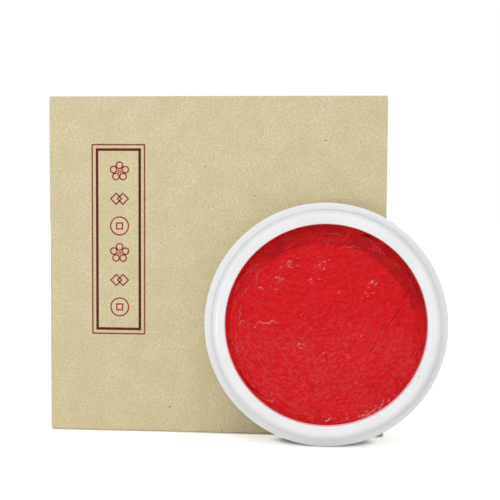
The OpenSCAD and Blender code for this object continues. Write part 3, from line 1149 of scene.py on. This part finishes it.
# %% Loose fibres
loose_count, loose_steps = 70, 8
loose_start_r, loose_limit = 32.5, 34.6
loose_fade = fade_ends(loose_steps + 1)
loose_random = np.random.default_rng(5)
loose_pieces = []
for _ in range(loose_count):
    start_r = loose_start_r * math.sqrt(loose_random.uniform())
    start_angle = loose_random.uniform(0, 2 * math.pi)
    x, y = start_r * math.cos(start_angle), start_r * math.sin(start_angle)
    heading = float(stir_angle(np.array([x]), np.array([y]))[0]) + loose_random.normal(0, 0.5)
    length, curl = loose_random.uniform(1.2, 3.2), loose_random.normal(0, 0.12)
    line = []
    for _ in range(loose_steps + 1):
        line.append((x, y))
        heading += curl + loose_random.normal(0, 0.12)
        x += math.cos(heading) * length / loose_steps
        y += math.sin(heading) * length / loose_steps
    xs, ys = np.array(line).T
    pulled_in = loose_limit / np.maximum(np.hypot(xs, ys), loose_limit)
    xs, ys = xs * pulled_in, ys * pulled_in
    clear = loose_random.uniform(0.0, 0.09) * loose_fade
    zs = read_map(paste_map, xs, ys) + clear
    thick = loose_random.uniform(0.05, 0.09)
    across = math.atan2(ys[-1] - ys[0], xs[-1] - xs[0]) + math.pi / 2

    def rolled(u, v):
        """Three sides round the strand's line, thinner at both ends."""
        k = np.rint(v * loose_steps).astype(int)
        side = u * 2 * math.pi
        thin = thick * (0.25 + 0.75 * loose_fade[k])
        return ((xs[k] + thin * np.cos(side) * math.cos(across)) * MM,
                (ys[k] + thin * np.cos(side) * math.sin(across)) * MM,
                (zs[k] + thin * np.sin(side)) * MM)

    loose_pieces.append(shaped_grid(3, loose_steps, rolled))
loose_fibres = join(loose_pieces)
start_edit(loose_fibres)
bpy.ops.mesh.remove_doubles(threshold=0.0005 * MM)
bpy.ops.mesh.fill_holes(sides=4)
end_edit()
face_outwards(loose_fibres)
smooth(loose_fibres, 80)
apply_place(loose_fibres, jar_place)
loose_red = paste_finish("paste_strand", (206, 34, 38), (222, 66, 70), (230, 100, 104), 0.3)
finish_piece(loose_fibres, "paste_fibres", "jar", loose_red, "seal_paste")

# %% [markdown]
# ## Insert, cloth and pad
#
# Inside the tray a foam block holds the jar in a round nest. Satin covers its front, is tucked down
# its sides and lines the wall of the nest, and a padded disc lies at the bottom. Foam and satin
# share one form, a square outside and a circle inside, so one function lays rings of points from
# square to circle. The cloth isn't simulated: it is glued to the foam, and only short folds show.

# %% Sizes of the insert
block_low, block_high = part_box("insert_block")
pad_low, pad_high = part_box("nest_pad")
cloth_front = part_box("insert_cloth")[0].y
insert_half = block_high.x
cloth_t = block_low.y - cloth_front
nest_r = 43.4 * MM
tuck = 5 * MM
outer_bend = 1.3 * MM
nest_bend = 1.7 * MM
insert_steps = 384


# %% Rings from square to circle
def square_reach(angle, half, sharpness=60):
    """How far a square with slightly soft corners reaches at an angle."""
    return half / (np.abs(np.cos(angle)) ** sharpness
                   + np.abs(np.sin(angle)) ** sharpness) ** (1 / sharpness)


def insert_rings(sections, wrinkle=None):
    """Rings round the nest: each section is (share of square, half of square, radius, y)."""
    rows = len(sections) - 1
    shares, halves, radii, depths = (np.array(values) for values in zip(*sections))

    def place(u, v):
        row = np.rint(v * rows).astype(int)
        angle = u * 2 * math.pi
        square = square_reach(angle, np.maximum(halves[row], MM))
        radius = shares[row] * square + (1 - shares[row]) * radii[row]
        depth = depths[row]
        if wrinkle:
            shift_r, shift_y = wrinkle(angle, row)
            radius, depth = radius + shift_r, depth + shift_y
        return radius * np.cos(angle), depth, box_mid_z + radius * np.sin(angle)

    return shaped_grid(insert_steps, rows, place)


def quarter(radius, steps):
    """A quarter of a circle in steps: how far it has come, and how far it still has to go."""
    turns = np.linspace(0, math.pi / 2, steps + 1)
    return [(radius * (1 - math.cos(a)), radius * (1 - math.sin(a))) for a in turns]


def bend_over(half, front):
    """Rings of a rounded outer edge, from the side of the block to its front."""
    return [(1, half - gone, 0, front + left) for gone, left in quarter(outer_bend, 5)]


def bend_into(nest, front):
    """Rings of a rounded edge, from the front of the block into the nest."""
    return [(0, 0, nest + left, front + gone) for gone, left in quarter(nest_bend, 6)]


# %% Foam block
foam_inset = cloth_t + 0.05 * MM
foam_half, foam_r = insert_half - foam_inset, nest_r + foam_inset
foam_front, foam_back = cloth_front + foam_inset, block_high.y
foam_block = insert_rings([
    (0, 0, foam_r, foam_back), (1, foam_half, 0, foam_back), *bend_over(foam_half, foam_front),
    *bend_into(foam_r, foam_front), (0, 0, foam_r, foam_back)])
face_outwards(foam_block)
smooth(foam_block, 30)
finish_piece(foam_block, "foam_block", "tray", foam, "foam", "insert_block")

# %% Rings of the satin over the block
front_rings, wall_rings = 22, 4
flat_half, flat_r = insert_half - outer_bend, nest_r + nest_bend
wall_from_y = cloth_front + nest_bend
cloth_rings = [(1, insert_half, 0, cloth_front + tuck), *bend_over(insert_half, cloth_front)]
first_front = len(cloth_rings)
cloth_rings += [(1 - k / front_rings, flat_half, flat_r, cloth_front)
                for k in range(1, front_rings)]
first_bend = len(cloth_rings)
cloth_rings += bend_into(nest_r, cloth_front)
first_wall = len(cloth_rings)
cloth_rings += [(0, 0, nest_r, wall_from_y + k / wall_rings * (pad_low.y - wall_from_y))
                for k in range(1, wall_rings + 1)]
pull_random = np.random.default_rng(3)
pull_waves = [(int(n), pull_random.uniform(0, 2 * math.pi), pull_random.uniform(0.3, 1))
              for n in pull_random.integers(14, 78, 11)]


def pulled_folds(angle, row):
    """Short folds that run out from the nest, and a soft crown between nest and edge."""
    pull = sum(size * np.sin(n * angle + phase) for n, phase, size in pull_waves)
    pull = pull / sum(size for _, _, size in pull_waves)
    along_front = np.clip((row - first_front) / (first_bend - first_front), 0, 1)
    near_nest = along_front ** 2.5 * np.clip(1 - (row - first_wall) / 3, 0, 1)
    crown_height = np.sin(along_front * math.pi) * (row < first_bend)
    corner = np.abs(np.sin(2 * angle)) ** 6 * np.sin(40 * angle) * crown_height
    fold_height = near_nest * (1 + pull) * (row < first_wall)
    shift_y = -(0.7 * crown_height + 0.55 * fold_height + 0.25 * corner) * MM
    shift_r = -0.12 * near_nest * (1 + pull) * MM
    return shift_r, shift_y


# %% Satin over the block
satin_cover = insert_rings(cloth_rings, pulled_folds)
start_edit(satin_cover)
bpy.ops.mesh.remove_doubles(threshold=0.001 * MM)
end_edit()
sheet_area = sum(face.area for face in satin_cover.data.polygons)
print(f"satin: {sheet_area * 1e6:.0f} square millimetres")
give_thickness(satin_cover, cloth_t)
smooth(satin_cover, 50)
finish_piece(satin_cover, "satin_cover", "tray", satin, "satin_cloth", "insert_cloth")

# %% Pad at the bottom of the nest
pad_r, pad_t = pad_high.x, pad_high.y - pad_low.y
pad = turned(rounded([
    (0, 0, 0), (pad_r, 0, 0.5 * MM), (pad_r, pad_t * 0.82, 1.4 * MM),
    (pad_r * 0.93, pad_t * 0.9, 3 * MM), (pad_r * 0.7, pad_t * 0.98, 20 * MM), (0, pad_t, 0)]),
    steps=192)
smooth(pad, 40)
apply_place(pad, facing_front((0, pad_low.y + pad_t, box_mid_z)))
finish_piece(pad, "satin_pad", "tray", satin, "satin_cloth", "nest_pad")

# %% [markdown]
# ## Stage and light
#
# The photograph is a studio cut-out on white, under soft light, with only a thin shadow where the
# pieces touch the table. The floor's own colour is nearly white, and a little glow that only the
# camera sees lifts it to white, so the object gets no more light from it. The glow stays away from
# the foot of jar and box, so the floor is greyer there: a painted shade over the thin real shadows
# there. A bright room gives most of the light, with a large soft lamp above and a small weak one
# low at the front left.


# %% Distance on the floor
def away_from(tree, place, middle, half=(0, 0, 0), squeeze=1):
    """Distance from a rectangle on the floor, where widths along x count less by squeeze."""
    for operation, values in (
            ("SUBTRACT", middle), ("ABSOLUTE", (0, 0, 0)), ("SUBTRACT", half),
            ("MAXIMUM", (0, 0, 0)), ("MULTIPLY", (squeeze, 1, 1))):
        place = vector_node(tree, operation, place, values)
    return add_node(tree, "VectorMath", {0: place}, operation="LENGTH").outputs["Value"]


def empty_tree(owner):
    """The nodes of a new material or world, with none in it yet."""
    owner.use_nodes = True
    owner.node_tree.nodes.clear()
    return owner.node_tree


def seen_only(tree):
    """1 for what the camera sees, directly or in gloss and glass, and 0 for light on the object."""
    rays = add_node(tree, "LightPath").outputs
    seen = math_node(tree, "MAXIMUM", rays["Is Camera Ray"], rays["Is Glossy Ray"])
    return math_node(tree, "MAXIMUM", seen, rays["Is Transmission Ray"])


# %% Floor
floor_w, floor_drop = 6, 0.05 * MM
floor_colour = (0.92, 0.92, 0.92, 1)
deselect()
bpy.ops.mesh.primitive_plane_add(size=floor_w, location=(0, 0, -floor_drop))
floor = bpy.context.object
floor.name = "floor"
floor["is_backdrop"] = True
floor_material = bpy.data.materials.new("floor")
tree = empty_tree(floor_material)
place = add_node(tree, "TexCoord").outputs["Object"]
cover_middle, cover_half = (cover_low + cover_high) / 2, (cover_high - cover_low) / 2
from_jar = away_from(tree, place, (jar_foot.x, jar_foot.y - bowl_h / 2, 0), squeeze=0.45)
from_box = away_from(
    tree, place, (cover_middle.x, cover_middle.y, 0), (cover_half.x - 2 * MM, cover_half.y, 0))
half_glow = 0.5  # near the object; the other half comes only far away, where the lamps are weak
# Near the foot of jar and box the glow is taken away, so the floor is greyer there: a painted shade
# over the real contact shadows.
by_jar = new_range(tree, from_jar, 6.1 * MM, 9 * MM, 0.0, half_glow)
by_box = new_range(tree, from_box, 0.6 * MM, 2.6 * MM, 0.0, half_glow)
far = new_range(tree, from_jar, 150 * MM, 600 * MM, 0.0, half_glow)
lift = math_node(tree, "ADD", math_node(tree, "MINIMUM", by_jar, by_box), far)
glow = add_node(
    tree, "Emission", {"Strength": math_node(tree, "MULTIPLY", seen_only(tree), lift)})
matte = add_node(tree, "BsdfDiffuse", {"Color": floor_colour})
both = add_node(tree, "AddShader", {0: matte.outputs[0], 1: glow.outputs[0]})
add_node(tree, "OutputMaterial", {"Surface": both.outputs[0]})
floor.data.materials.append(floor_material)
print("floor material:", len(tree.nodes), "nodes")

# %% Room
room_light = 0.66
room = bpy.data.worlds.new("room")
tree = empty_tree(room)
backdrop = add_node(tree, "Background", {
    "Color": (1, 1, 1, 1), "Strength": math_node(tree, "MAXIMUM", seen_only(tree), room_light)})
add_node(tree, "OutputWorld", {"Surface": backdrop.outputs[0]})
bpy.context.scene.world = room
print("room light", room_light)

# %% Lamps
lamp_aim = Vector((0.01, face_y, 0.055))


def soft_lamp(name, azimuth, elevation, distance, size, power):
    """A square lamp that looks at the object; azimuth 0 is at the front and turns to the right."""
    around, up = math.radians(azimuth), math.radians(elevation)
    away = Vector((math.sin(around) * math.cos(up), -math.cos(around) * math.cos(up), math.sin(up)))
    deselect()
    bpy.ops.object.light_add(type="AREA", location=lamp_aim + away * distance)
    lamp = bpy.context.object
    lamp.name = name
    lamp.data.size = size
    lamp.data.energy = power
    lamp.rotation_euler = (-away).to_track_quat("-Z", "Y").to_euler()
    print("lamp:", name)


LAMPS = (  # name, azimuth, elevation, distance, size, power
    ("top_lamp", 5, 70, 3.0, 1.8, 28), ("left_lamp", -28, -4, 0.5, 0.1, 0.35))
for lamp_values in LAMPS:
    soft_lamp(*lamp_values)

# %% [markdown]
#
# The dressed model is meant to fill the same box as the CAD model. Both boxes are printed.

# %% Sizes of both models
dressed_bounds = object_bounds()
for label, corners in (("cad", cad_bounds), ("visual", dressed_bounds)):
    print(label, [[round(v / MM, 2) for v in corner] for corner in corners])
